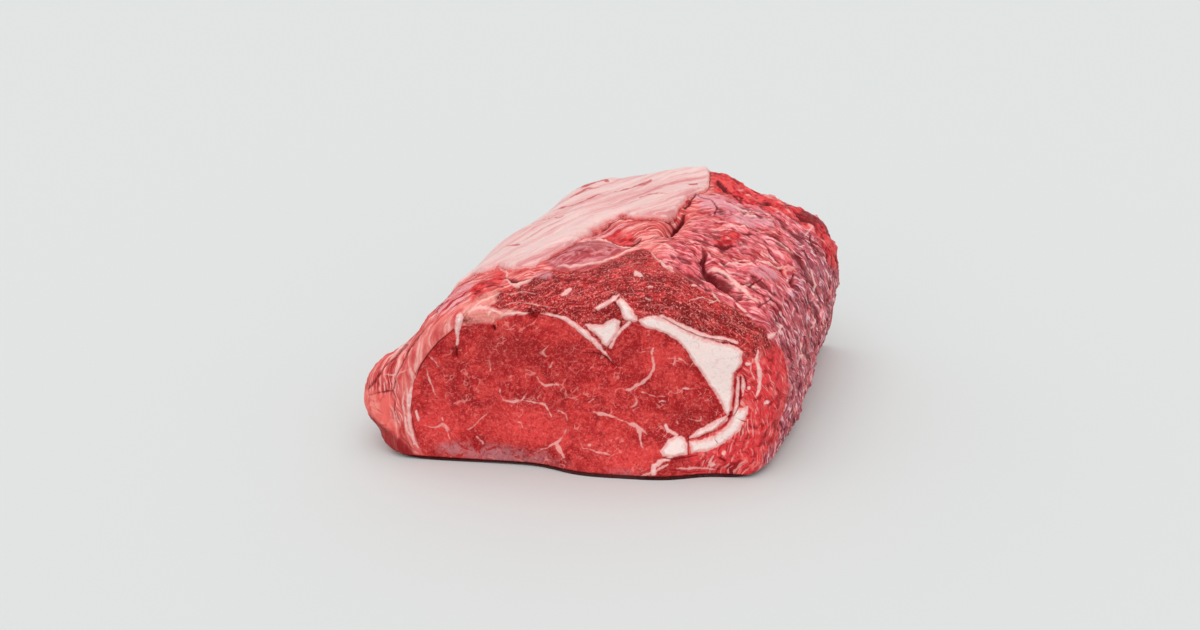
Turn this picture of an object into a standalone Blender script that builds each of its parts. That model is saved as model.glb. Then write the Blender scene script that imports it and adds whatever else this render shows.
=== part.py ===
"""Boneless raw beef rib roast, lying on its flat underside.

X runs along the front cut face, Y back along the piece and Z up, in metres. The origin is the
middle of the footprint, on the surface that the roast lies on. The piece is a loft of four closed
outlines whose cross-section drifts sideways towards the back, closed by two cut faces. Its relief
is added along the skin's normals: the sheet of fat, the clefts and folds between the muscles, the
humps of the muscles and the ragged rim of the back cut.
"""

import bpy
import numpy as np

# Driving dimensions
LENGTH = 0.180  # from the front cut face to the back one
DRIFT = 0.27  # sideways run of the piece for each metre towards the back
MIDDLE_Y = 0.095  # where the middle outline stands
BACK_ROUND = 0.009  # how far the flesh rounds over at the back cut
BACK_INSET = 0.94  # size of the flat of the back cut, as a share of the outline round it
FAT_THICKNESS = 0.003  # the sheet of fat left on the upper left
FAT_SLOPE = 0.006  # width of the sheet's sloping edge
UNDERSIDE_FREE = (0.002, 0.014)  # relief fades in between these heights above the surface

# Mesh spacing
ACROSS = 32  # cells along the underside and along the top
UPRIGHT = 18  # cells up each side
FRONT_RINGS = 7  # over the rounded front edge
LONG_RINGS = 30  # along the piece
BACK_RINGS = 3  # over the rounded back edge

# Each landmark goes round the piece, seen from the front and starting at the lower left. It has
# the edge of the flat front cut (x, z), the girth just behind it (x, z, and how far behind), the
# middle outline (x, z) and the back outline (x, z). The drift isn't in them.
LANDMARKS = {
    "heel left": ((-0.099, 0.002), (-0.113, 0.002, 0.014), (-0.112, 0.002), (-0.102, 0.002)),
    "foot left": ((-0.055, 0.001), (-0.060, 0.000, 0.006), (-0.066, 0.000), (-0.060, 0.000)),
    "keel": ((-0.010, 0.000), (-0.012, 0.000, 0.006), (-0.012, 0.000), (-0.008, 0.000)),
    "foot right": ((0.035, 0.000), (0.040, 0.000, 0.006), (0.038, 0.000), (0.042, 0.000)),
    "heel right": ((0.074, 0.002), (0.081, 0.002, 0.016), (0.076, 0.003), (0.073, 0.003)),
    "side low": ((0.076, 0.020), (0.088, 0.022, 0.024), (0.088, 0.024), (0.079, 0.024)),
    "side middle": ((0.077, 0.042), (0.089, 0.046, 0.028), (0.087, 0.050), (0.078, 0.048)),
    "side high": ((0.075, 0.060), (0.083, 0.070, 0.030), (0.079, 0.074), (0.072, 0.070)),
    "wedge": ((0.066, 0.075), (0.070, 0.089, 0.030), (0.063, 0.091), (0.053, 0.086)),
    "crown right": ((0.036, 0.085), (0.037, 0.102, 0.030), (0.032, 0.105), (0.024, 0.103)),
    "crown": ((0.002, 0.090), (0.002, 0.105, 0.028), (-0.002, 0.110), (-0.008, 0.111)),
    "crown left": ((-0.036, 0.085), (-0.039, 0.098, 0.026), (-0.041, 0.105), (-0.042, 0.105)),
    "shoulder": ((-0.070, 0.080), (-0.085, 0.083, 0.018), (-0.078, 0.094), (-0.073, 0.099)),
    "lip high": ((-0.086, 0.066), (-0.102, 0.064, 0.018), (-0.103, 0.072), (-0.098, 0.078)),
    "lip middle": ((-0.095, 0.044), (-0.123, 0.045, 0.021), (-0.120, 0.048), (-0.113, 0.051)),
    "lip low": ((-0.099, 0.019), (-0.134, 0.023, 0.023), (-0.128, 0.022), (-0.118, 0.022)),
}

# Plan outline (x, y) of the sheet of fat: from its front corner along its free edge to the back
# cut, and then round past the left side
FAT_SHEET = [
    (-0.076, 0.012), (-0.066, 0.027), (-0.045, 0.032), (-0.034, 0.037), (-0.022, 0.057),
    (-0.012, 0.075), (-0.001, 0.090), (0.010, 0.091), (0.020, 0.083), (0.031, 0.096),
    (0.038, 0.118), (0.043, 0.150), (0.042, 0.200), (-0.090, 0.200), (-0.110, 0.120),
    (-0.110, 0.060),
]

# Clefts between the muscles: the line at the bottom of each, its half width and its depth
CLEFTS = {
    "beside the fat": ([(-0.040, 0.034, 0.098), (-0.006, 0.084, 0.107)], 0.005, 0.0015),
    "hole by the fat": ([(0.027, 0.066, 0.108), (0.033, 0.092, 0.109)], 0.005, 0.006),
    "hollow in the cap": ([(-0.007, 0.074, 0.107), (0.010, 0.054, 0.107)], 0.008, 0.003),
    "cap groove, upper": ([(0.045, 0.046, 0.104), (0.055, 0.027, 0.099)], 0.006, 0.003),
    "cap groove, lower": ([(0.055, 0.027, 0.099), (0.078, 0.015, 0.082)], 0.006, 0.004),
    "side fold": ([(0.070, 0.120, 0.100), (0.092, 0.070, 0.084)], 0.008, 0.003),
    "seam notch": ([(-0.034, 0.000, 0.083), (-0.036, 0.014, 0.093)], 0.005, 0.003),
    "dip of the eye": ([(0.004, 0.000, 0.080), (0.002, 0.000, 0.060)], 0.008, 0.002),
}

# Rolls of flesh: middle, radius and height. A negative height is a dent.
ROLLS = {
    "under the membrane": ((-0.012, 0.034, 0.102), 0.016, 0.0025),
    "top of the cap": ((0.034, 0.044, 0.105), 0.015, 0.0025),
    "beside the groove": ((0.074, 0.046, 0.097), 0.014, 0.0020),
    "behind the groove": ((0.060, 0.080, 0.104), 0.016, 0.0020),
    "back rim": ((0.108, 0.176, 0.082), 0.014, 0.0045),
    "back notch": ((0.076, 0.178, 0.104), 0.012, -0.0030),
    "tip of the lip": ((-0.116, 0.018, 0.042), 0.012, 0.0020),
    "under the lip": ((-0.118, 0.014, 0.010), 0.012, -0.0040),
    "wedge of fat": ((0.060, 0.000, 0.062), 0.014, 0.0015),
    "left of the eye": ((-0.085, 0.000, 0.030), 0.022, -0.0015),
}

# The eye muscle sags forward at the foot of the front cut: middle X, half width and height of the
# sag, how far it comes forward and how far back it is felt
SAG = {"x": 0.012, "half width": 0.036, "height": 0.026, "forward": 0.008, "reach": 0.045}

# Slow unevenness of the flesh: waves in random directions
SEED = 7
WAVES = 24
WAVE_LENGTHS = (0.030, 0.075)
UNEVENNESS = 0.0007

# Raw lean beef, with a wet sheen
LEAN_RED = (0.46, 0.040, 0.045, 1.0)
WET_ROUGHNESS = 0.38


def closed_curve(corners, samples):
    """Smooth closed curve through evenly numbered corners, read at the sample numbers."""
    count = len(corners)
    # Tangents of the periodic cubic spline: t[k-1] + 4 t[k] + t[k+1] = 3 (p[k+1] - p[k-1])
    ring = 4 * np.eye(count) + np.roll(np.eye(count), 1, 0) + np.roll(np.eye(count), -1, 0)
    tangents = np.linalg.solve(ring, 3 * (np.roll(corners, -1, 0) - np.roll(corners, 1, 0)))
    start = np.floor(samples).astype(int) % count
    after = (start + 1) % count
    t = (samples - np.floor(samples))[:, None]
    return (
        corners[start] * (1 + 2 * t) * (1 - t) ** 2
        + tangents[start] * t * (1 - t) ** 2
        + corners[after] * t**2 * (3 - 2 * t)
        - tangents[after] * t**2 * (1 - t)
    )


def samples_around():
    """Landmark numbers of the points round an outline: four landmarks on each of its four sides."""
    wide = np.linspace(0, 4, ACROSS, endpoint=False)
    tall = np.linspace(0, 4, UPRIGHT, endpoint=False)
    return np.concatenate([wide, 4 + tall, 8 + wide, 12 + tall])


def skin_rings():
    """Rings of points from the flat front edge to the flat back edge, before drift and relief."""
    around = samples_around()
    columns = zip(*LANDMARKS.values())
    face, girth, middle, back = [closed_curve(np.array(c, float), around) for c in columns]
    depth = girth[:, 2]
    girth = girth[:, :2]
    rings = []
    for angle in np.linspace(0, np.pi / 2, FRONT_RINGS, endpoint=False):
        flat = face + (girth - face) * np.sin(angle)
        rings.append(np.column_stack([flat[:, 0], depth * (1 - np.cos(angle)), flat[:, 1]]))
    end = LENGTH - BACK_ROUND
    m = ((MIDDLE_Y - depth) / (end - depth))[:, None]
    for s in np.linspace(0, 1, LONG_RINGS):
        # Parabola through the girth, the middle and the back outlines
        flat = (
            girth * (s - m) * (s - 1) / m
            + middle * s * (s - 1) / (m * (m - 1))
            + back * s * (s - m) / (1 - m)
        )
        rings.append(np.column_stack([flat[:, 0], depth + (end - depth) * s, flat[:, 1]]))
    centre = back.mean(0)
    tail = centre + (back - centre) * BACK_INSET
    for angle in np.linspace(0, np.pi / 2, BACK_RINGS + 1)[1:]:
        flat = tail + (back - tail) * np.cos(angle)
        y = np.full(len(flat), end + BACK_ROUND * np.sin(angle))
        rings.append(np.column_stack([flat[:, 0], y, flat[:, 1]]))
    return np.array(rings)


def face_patch(rim):
    """Points inside a rim: each row and column blends the rim's four sides."""
    corners = [0, ACROSS, ACROSS + UPRIGHT, 2 * ACROSS + UPRIGHT]
    bottom = rim[: corners[1] + 1]
    right = rim[corners[1] : corners[2] + 1]
    top = rim[corners[2] : corners[3] + 1][::-1]
    left = np.concatenate([rim[corners[3] :], rim[:1]])[::-1]
    s = np.linspace(0, 1, ACROSS + 1)[None, :, None]
    t = np.linspace(0, 1, UPRIGHT + 1)[:, None, None]
    edges = (1 - t) * bottom[None] + t * top[None] + (1 - s) * left[:, None] + s * right[:, None]
    corner_share = (1 - s) * (1 - t) * rim[corners[0]] + s * (1 - t) * rim[corners[1]]
    corner_share = corner_share + s * t * rim[corners[2]] + (1 - s) * t * rim[corners[3]]
    return edges - corner_share


def patch_numbers(first, inner):
    """Point numbers of a face patch whose rim starts at first and whose inner points at inner."""
    number = np.empty((UPRIGHT + 1, ACROSS + 1), int)
    around = 2 * (ACROSS + UPRIGHT)
    number[0] = np.arange(ACROSS + 1)
    number[:, ACROSS] = ACROSS + np.arange(UPRIGHT + 1)
    number[UPRIGHT, ::-1] = ACROSS + UPRIGHT + np.arange(ACROSS + 1)
    number[::-1, 0] = (2 * ACROSS + UPRIGHT + np.arange(UPRIGHT + 1)) % around
    number += first
    number[1:-1, 1:-1] = inner + np.arange((UPRIGHT - 1) * (ACROSS - 1)).reshape(UPRIGHT - 1, -1)
    return number


def grid_faces(number):
    """Four-sided faces of a grid of point numbers."""
    corners = (number[:-1, :-1], number[:-1, 1:], number[1:, 1:], number[1:, :-1])
    return np.stack(corners, axis=-1).reshape(-1, 4)


def smooth_skin():
    """Points and outward faces of the closed skin before its relief, with the drift in."""
    rings = skin_rings()
    count, around = rings.shape[:2]
    number = np.arange(count * around).reshape(count, around)
    inner = (UPRIGHT - 1) * (ACROSS - 1)
    points = [rings.reshape(-1, 3)]
    faces = [grid_faces(np.column_stack([number, number[:, :1]]))[:, ::-1]]
    for place, ring in enumerate((0, count - 1)):
        points.append(face_patch(rings[ring])[1:-1, 1:-1].reshape(-1, 3))
        patch = grid_faces(patch_numbers(ring * around, count * around + place * inner))
        faces.append(patch if ring == 0 else patch[:, ::-1])
    points = np.concatenate(points)
    points[:, 0] += DRIFT * points[:, 1]
    across = np.exp(-(((points[:, 0] - SAG["x"]) / SAG["half width"]) ** 4))
    upright = np.exp(-((points[:, 2] / SAG["height"]) ** 2))
    back = 1 - fade(points[:, 1], 0, SAG["reach"])
    points[:, 1] -= SAG["forward"] * across * upright * back
    return points, np.concatenate(faces)


def normals(points, faces):
    """Unit normals at the points, from the areas of the faces that meet there."""
    a, b, c, d = (points[faces[:, k]] for k in range(4))
    area = np.cross(c - a, d - b)
    total = np.zeros_like(points)
    for k in range(4):
        np.add.at(total, faces[:, k], area)
    return total / np.linalg.norm(total, axis=1, keepdims=True)


def to_line(points, line):
    """Distance of each point from a line of joined stretches."""
    line = np.array(line, float)
    nearest = np.full(len(points), np.inf)
    for start, end in zip(line[:-1], line[1:]):
        run = end - start
        share = np.clip((points - start) @ run / (run @ run), 0, 1)
        gap = np.linalg.norm(points - start - share[:, None] * run, axis=1)
        nearest = np.minimum(nearest, gap)
    return nearest


def inside(points, outline):
    """True where a plan point is in a closed outline: a ray to +X crosses it an odd number of times."""
    x, y = points.T
    odd = np.zeros(len(points), bool)
    for (x0, y0), (x1, y1) in zip(outline, outline[1:] + outline[:1]):
        if y0 != y1:
            crosses = ((y0 > y) != (y1 > y)) & (x < x0 + (y - y0) * (x1 - x0) / (y1 - y0))
            odd ^= crosses
    return odd


def fade(value, low, high):
    """0 at low and 1 at high, smooth between them."""
    t = np.clip((value - low) / (high - low), 0, 1)
    return t * t * (3 - 2 * t)


def slow_waves(points):
    """Sum of sine waves in random directions, about 1 high."""
    random = np.random.default_rng(SEED)
    direction = random.normal(size=(WAVES, 3))
    direction /= np.linalg.norm(direction, axis=1, keepdims=True)
    length = random.uniform(*WAVE_LENGTHS, WAVES)
    phase = random.uniform(0, 2 * np.pi, WAVES)
    waves = np.sin(points @ (2 * np.pi / length * direction.T) + phase)
    return waves.sum(1) / np.sqrt(WAVES / 2)


def relief(points, normal):
    """Height of the flesh and fat over the smooth skin, along its normals."""
    plan = points[:, :2]
    edge = to_line(plan, FAT_SHEET + FAT_SHEET[:1])
    depth_in = np.where(inside(plan, FAT_SHEET), edge, -edge)
    upward = fade(normal[:, 2], -0.1, 0.3)
    height = FAT_THICKNESS * fade(depth_in, 0, FAT_SLOPE) * upward
    for line, width, depth in CLEFTS.values():
        height -= depth * np.exp(-((to_line(points, line) / width) ** 2))
    for middle, radius, rise in ROLLS.values():
        height += rise * np.exp(-((np.linalg.norm(points - middle, axis=1) / radius) ** 2))
    height += UNEVENNESS * slow_waves(points)
    return height * fade(points[:, 2], *UNDERSIDE_FREE)


def raw_beef():
    """Wet red flesh: a soft sheen over one colour."""
    material = bpy.data.materials.new("raw_beef")
    material.use_nodes = True
    shader = material.node_tree.nodes["Principled BSDF"]
    shader.inputs["Base Color"].default_value = LEAN_RED
    shader.inputs["Roughness"].default_value = WET_ROUGHNESS
    return material


def main():
    for old in list(bpy.data.objects):
        bpy.data.objects.remove(old)
    points, faces = smooth_skin()
    normal = normals(points, faces)
    points += normal * relief(points, normal)[:, None]
    points[:, 2] = np.maximum(points[:, 2], 0)
    middle = (points.min(0) + points.max(0)) / 2
    points[:, :2] -= middle[:2]

    mesh = bpy.data.meshes.new("rib_roast")
    mesh.from_pydata(points.tolist(), [], faces.tolist())
    mesh.materials.append(raw_beef())
    mesh.shade_smooth()
    roast = bpy.data.objects.new("rib_roast", mesh)
    bpy.context.collection.objects.link(roast)


main()
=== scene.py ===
import math
from itertools import product

import bpy
import numpy as np
from mathutils import Matrix, Vector


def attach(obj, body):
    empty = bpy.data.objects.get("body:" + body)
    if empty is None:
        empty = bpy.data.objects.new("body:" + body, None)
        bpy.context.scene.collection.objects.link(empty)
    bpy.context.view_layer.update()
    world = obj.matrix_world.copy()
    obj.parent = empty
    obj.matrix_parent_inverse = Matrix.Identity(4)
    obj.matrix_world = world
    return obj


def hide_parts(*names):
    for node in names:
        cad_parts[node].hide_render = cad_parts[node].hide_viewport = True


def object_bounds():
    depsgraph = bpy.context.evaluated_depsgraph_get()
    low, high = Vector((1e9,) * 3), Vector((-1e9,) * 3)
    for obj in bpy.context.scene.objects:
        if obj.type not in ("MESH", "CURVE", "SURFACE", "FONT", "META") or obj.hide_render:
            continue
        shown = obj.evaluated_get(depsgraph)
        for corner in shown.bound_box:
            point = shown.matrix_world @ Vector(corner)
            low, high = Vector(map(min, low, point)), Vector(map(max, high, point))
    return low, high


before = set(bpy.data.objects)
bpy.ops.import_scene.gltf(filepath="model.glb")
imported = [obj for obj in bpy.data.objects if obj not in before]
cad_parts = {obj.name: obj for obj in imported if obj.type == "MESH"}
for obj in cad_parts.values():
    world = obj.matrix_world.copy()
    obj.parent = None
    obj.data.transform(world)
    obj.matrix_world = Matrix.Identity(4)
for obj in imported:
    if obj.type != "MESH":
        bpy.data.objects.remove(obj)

cad_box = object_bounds()

# The block of flesh. One boneless piece of raw beef, trimmed with a knife at both ends. Its skin is a
# loft through four outlines with a cut face at each end. It is made in four pieces that overlap by
# a few millimetres, so that the front cut has the finest mesh. All sizes are in millimetres.
PER_METRE = 1000  # millimetres in a metre
LENGTH = 180  # from the front cut face to the back one
DRIFT = 0.27  # sideways run of the piece towards the back
MIDDLE_Y = 95  # where the middle outline stands
BACK_ROUND = 9  # how far the flesh rounds over at the back cut
BACK_INSET = 0.94  # flat of the back cut, as a share of the outline round it
FOOTPRINT_MIDDLE = (-0.9, 88.4, 0)  # the part's origin, as the loft's outlines count it
SIDES = 4  # landmarks on each side of an outline

# Landmarks round the piece from the lower left: the edge of the front cut (x, z), the girth behind it
# (x, z, how far behind), the middle outline (x, z) and the back outline (x, z), all before the drift
LANDMARKS = {
    "heel left": ((-99, 2), (-113, 2, 14), (-112, 2), (-102, 2)),
    "foot left": ((-55, 1), (-60, 0, 6), (-66, 0), (-60, 0)),
    "keel": ((-10, 0), (-12, 0, 6), (-12, 0), (-8, 0)),
    "foot right": ((35, 0), (40, 0, 6), (38, 0), (42, 0)),
    "heel right": ((74, 2), (81, 2, 16), (76, 3), (73, 3)),
    "side low": ((76, 20), (88, 22, 24), (88, 24), (79, 24)),
    "side middle": ((77, 42), (89, 46, 28), (87, 50), (78, 48)),
    "side high": ((75, 60), (83, 70, 30), (79, 74), (72, 70)),
    "wedge": ((66, 75), (70, 89, 30), (63, 91), (53, 86)),
    "crown right": ((36, 85), (37, 102, 30), (32, 105), (24, 103)),
    "crown": ((2, 90), (2, 105, 28), (-2, 110), (-8, 111)),
    "crown left": ((-36, 85), (-39, 98, 26), (-41, 105), (-42, 105)),
    "shoulder": ((-70, 80), (-85, 83, 18), (-78, 94), (-73, 99)),
    "lip high": ((-86, 66), (-102, 64, 18), (-103, 72), (-98, 78)),
    "lip middle": ((-95, 44), (-123, 45, 21), (-120, 48), (-113, 51)),
    "lip low": ((-99, 19), (-134, 23, 23), (-128, 22), (-118, 22)),
}


def fade(value, low, high):
    """0 at low and 1 at high, with the smooth step 3t^2 - 2t^3 between them."""
    t = np.clip((value - low) / (high - low), 0, 1)
    return t * t * (3 - 2 * t)


def closed_curve(corners, samples):
    """Periodic cubic spline through evenly numbered corners, read at the sample numbers. At each corner
    the tangent before, 4 of its own and the one after add up to 3 of the step between its neighbours."""
    count = len(corners)
    ring = 4 * np.eye(count) + np.roll(np.eye(count), 1, 0) + np.roll(np.eye(count), -1, 0)
    tangents = np.linalg.solve(ring, 3 * (np.roll(corners, -1, 0) - np.roll(corners, 1, 0)))
    start = np.floor(samples).astype(int) % count
    after = (start + 1) % count
    t = (samples - np.floor(samples))[:, None]
    return (
        corners[start] * (1 + 2 * t) * (1 - t) ** 2
        + tangents[start] * t * (1 - t) ** 2
        + corners[after] * t**2 * (3 - 2 * t)
        - tangents[after] * t**2 * (1 - t)
    )


def skin_rings(stations, across, upright):
    """Rings of the smooth skin. Station 0 is the edge of the front cut, 1 the girth, 2 the back
    outline and 3 the edge of the back cut. From 0 to 1 a ring follows a quarter of an ellipse, from 1
    to 2 a parabola through girth, middle and back, and from 2 to 3 a quarter of an ellipse again."""
    wide = np.linspace(0, SIDES, across, endpoint=False)
    tall = np.linspace(0, SIDES, upright, endpoint=False)
    around = np.concatenate([wide, SIDES + tall, 2 * SIDES + wide, 3 * SIDES + tall])
    columns = zip(*LANDMARKS.values())
    face, girth, middle, back = [closed_curve(np.array(c, float), around) for c in columns]
    depth = girth[:, 2]
    girth = girth[:, :2]
    end = LENGTH - BACK_ROUND
    centre = back.mean(0)
    tail = centre + (back - centre) * BACK_INSET
    m = ((MIDDLE_Y - depth) / (end - depth))[:, None]
    rings = []
    for station in stations:
        if station < 1:
            angle = station * math.pi / 2
            flat = face + (girth - face) * math.sin(angle)
            y = depth * (1 - math.cos(angle))
        elif station < 2:
            s = station - 1
            flat = girth * (s - m) * (s - 1) / m + middle * s * (s - 1) / (m * (m - 1))
            flat = flat + back * s * (s - m) / (1 - m)
            y = depth + (end - depth) * s
        else:
            angle = (station - 2) * math.pi / 2
            flat = tail + (back - tail) * math.cos(angle)
            y = np.full(len(flat), end + BACK_ROUND * math.sin(angle))
        rings.append(np.column_stack([flat[:, 0], y, flat[:, 1]]))
    return np.array(rings)


def face_patch(rim, across, upright):
    """Points inside a rim of four sides: each is the blend of the sides, less that of the corners."""
    bottom = rim[: across + 1]
    right = rim[across : across + upright + 1]
    top = rim[across + upright : 2 * across + upright + 1][::-1]
    left = np.concatenate([rim[2 * across + upright :], rim[:1]])[::-1]
    s = np.linspace(0, 1, across + 1)[None, :, None]
    t = np.linspace(0, 1, upright + 1)[:, None, None]
    edges = (1 - t) * bottom[None] + t * top[None] + (1 - s) * left[:, None] + s * right[:, None]
    shared = (1 - s) * (1 - t) * bottom[0] + s * (1 - t) * bottom[-1]
    return edges - shared - s * t * top[-1] - (1 - s) * t * top[0]


def patch_numbers(first, inner, across, upright):
    """Point numbers of a face patch whose rim starts at first and whose inner points at inner."""
    around = 2 * (across + upright)
    number = np.empty((upright + 1, across + 1), int)
    number[0] = np.arange(across + 1)
    number[:, across] = across + np.arange(upright + 1)
    number[upright, ::-1] = across + upright + np.arange(across + 1)
    number[::-1, 0] = (2 * across + upright + np.arange(upright + 1)) % around
    number += first
    number[1:-1, 1:-1] = inner + np.arange((upright - 1) * (across - 1)).reshape(upright - 1, -1)
    return number


def grid_faces(number):
    """Four-sided faces of a grid of point numbers."""
    corners = (number[:-1, :-1], number[:-1, 1:], number[1:, 1:], number[1:, :-1])
    return np.stack(corners, axis=-1).reshape(-1, 4)


# The eye muscle sags forward at the foot of the front cut
SAG = {"x": 12, "half width": 36, "height": 26, "forward": 8, "reach": 45}


def drift_and_sag(points):
    """Leans the loft: x grows by the drift times y. The foot of the eye comes forward by a bump of
    exp(-a^4) across and exp(-b^2) upwards, faded out behind the cut."""
    x, y, z = points.T
    x = x + DRIFT * y
    across = np.exp(-(((x - SAG["x"]) / SAG["half width"]) ** 4))
    upright = np.exp(-((z / SAG["height"]) ** 2))
    y = y - SAG["forward"] * across * upright * (1 - fade(y, 0, SAG["reach"]))
    return np.column_stack([x, y, z])


def vertex_normals(points, faces):
    """Unit normals: cross products of the diagonals of the four-sided faces that meet at each point,
    added and scaled to length 1."""
    a, b, c, d = (points[faces[:, k]] for k in range(4))
    area = np.cross(c - a, d - b)
    total = np.column_stack([
        sum(np.bincount(faces[:, k], area[:, axis], len(points)) for k in range(4)) for axis in range(3)
    ])
    return total / np.maximum(np.linalg.norm(total, axis=1, keepdims=True), 1e-9)


# The front cut. The knife has laid open the round eye muscle, the flatter cap over it and the seams of
# fat between them. All of it is one piece with the rest, and only its colour and low relief change.

# The seams of fat, as outlines in (x, z)
SEAM_FAT = {
    "wedge": [
        (19, 84), (22, 86.5), (28, 87.3), (32.5, 85.6), (37, 83.4), (41.5, 80.6), (47, 78.2), (53, 76.2),
        (59, 75), (64, 74.2), (68.5, 72.2), (70.5, 69.8), (70.5, 65), (69.5, 61.2), (67, 57.4),
        (66.6, 51.5), (66.5, 44), (65.9, 38.3), (65, 34.5), (62.7, 36.7), (60, 42.8), (55.3, 49.8),
        (51.4, 56.7), (46.2, 64), (43, 69.5), (39, 74), (34, 77.7), (27.6, 79.8), (22, 80.8),
    ],
    "lower inner band": [
        (45.7, 22.2), (50.3, 26.6), (56, 29.5), (60.3, 32.5), (64, 34.2), (64.4, 31.6), (60.5, 27.8),
        (56, 24.9), (51, 22.9), (46.4, 21.9),
    ],
    "lower outer band": [
        (46, 20), (51, 20.8), (56.5, 22.6), (61, 25.8), (65, 29.6), (67, 34.2), (67.8, 40.4), (68, 47.4),
        (68.2, 56), (69.4, 56), (69.6, 48), (69.4, 42), (70, 38.6), (74, 40), (74.4, 37), (72.5, 32),
        (71, 27.6), (66.5, 22.6), (61, 18.6), (54.6, 15.2), (46.6, 13.6),
    ],
    "band chip": [(70.6, 57.5), (72, 53.5), (72.4, 48), (71.4, 45.6), (70.7, 50)],
    "block": [
        (31.5, 16), (35, 20.4), (38.3, 22.3), (41.5, 23), (43.7, 21.7), (44.8, 18.5), (45.2, 15.2),
        (45, 13.6), (41.2, 12.7), (37.4, 12.2), (33, 13),
    ],
    "horn": [
        (8.2, 93.4), (10.5, 89), (13, 84.3), (16.3, 83.2), (18.7, 84), (18, 86), (15.5, 90), (12.5, 94),
        (9.6, 95.5),
    ],
    "left prong": [(9.5, 96.6), (7.8, 94), (4.2, 92), (-0.8, 88.6), (-2.5, 89.8), (2.2, 92.6), (6.5, 95.5)],
    "triangle": [
        (-7.3, 80.7), (0.9, 81), (7.2, 84.9), (10.4, 83), (8.5, 77), (5.3, 71.8), (3.4, 69), (0.8, 71.7),
        (-1, 74.5), (-5.4, 78),
    ],
    "upper strip": [
        (-30, 84.7), (-26, 85), (-19.6, 84.2), (-16, 83.4), (-11.7, 80.7), (-7.3, 77.8), (-2.9, 73.8),
        (0.8, 69.6), (2.1, 65.3), (0.4, 66.6), (-3.5, 70.6), (-7.9, 74.3), (-13, 78.6), (-17, 81.6),
        (-22, 83.2), (-27, 84),
    ],
}

# Thin fat drawn as strokes in (x, z): the line, then its widths from end to end
FAT_STROKES = [
    ([(30, 87.1), (37, 84), (43.3, 80.9), (48.4, 78.8), (54.6, 77.6), (62, 77.2), (67.2, 75)],
     (1.8, 2.6, 2.5, 2.2, 1.5)),
    ([(33.6, 28), (35.2, 25.6), (39.5, 23.5)], (1.6, 1.2)),
    ([(-66, 84), (-60, 86.4), (-54, 85.8), (-48, 84.2), (-42, 84.9), (-37, 84.4)],
     (0.3, 0.7, 0.8, 1.1, 1.5, 0.6)),
    ([(36.8, 11.9), (31, 10), (28.6, 7.8), (28, 4.4)], (1.4, 2.4, 3)),
    ([(14.8, 83), (9.8, 77.8), (6.8, 73), (5, 68.6)], (1.6, 1)),
    ([(2, 65.8), (3.8, 63), (5.3, 61)], (1.2, 0.4)),
    ([(-97.7, 44), (-99.3, 34), (-100, 26), (-99, 17), (-97.4, 9)], (0.5, 1.8, 1.6, 1.4, 0.6)),
    ([(-70.7, 81.2), (-71.6, 76.7), (-72.2, 71.6), (-72.7, 66)], (3.2, 2.4, 1.2, 0.5)),
    ([(-95.8, 27), (-94.9, 22)], (1.2, 1.2)),
    ([(-20.4, 95), (-18, 96), (-15.6, 97.4)], (0.4, 1.8, 1.2, 0.5)),
    ([(72.9, 63.8), (74.2, 63.6)], (1.8, 1.4)),
    ([(63, 14.5)], (2,)),
    ([(57, 7.4), (58.6, 7.6)], (1.6, 1)),
    ([(74.3, 50)], (1.4,)),
    ([(78.7, 69.2), (77.9, 65.8), (79.4, 59.7), (80.4, 54.7), (79.9, 49.6), (78.4, 46.7)],
     (0.8, 1.4, 1.7, 1.5, 0.8)),
    ([(83, 42), (84.6, 41.6)], (2, 1.6)),
    ([(84, 73.6), (85.6, 72.4)], (1.8, 1.4)),
]

# The fat on the left edge of the front cut, in (x, z), between the eye and the flank
RIM = [
    (-70, 79), (-76.7, 72.3), (-82.5, 66.7), (-88, 60), (-92, 54), (-95, 48), (-97.3, 41), (-98.6, 34),
    (-98.6, 27), (-97.3, 13.6), (-93, 2.7), (-98, 3), (-102.4, 14.7), (-103.6, 30), (-103.6, 44.6),
    (-99, 57), (-91, 69), (-81, 79), (-69, 84.6),
]
# Outline of the eye muscle, in (x, z), clockwise from the top left
EYE = [
    (-70, 79), (-63, 79), (-53, 80), (-48.5, 82), (-44, 84), (-36.3, 84), (-27, 84.4), (-17, 81.4),
    (-8, 74), (0.8, 66), (5, 68.6), (10, 77.8), (14.8, 83), (18.7, 82), (27.6, 79.8), (39, 74),
    (46.2, 64), (55.3, 49.8), (62.7, 36.7), (56, 29.5), (45.7, 22), (33, 16), (28, 4), (28, -2),
    (-93, -2), (-95.5, 7.6), (-97.5, 14), (-98.6, 27), (-98.6, 34), (-97.3, 41), (-95, 48), (-92, 54),
    (-88, 60), (-82.5, 66.7), (-76.7, 72.3),
]

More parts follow.
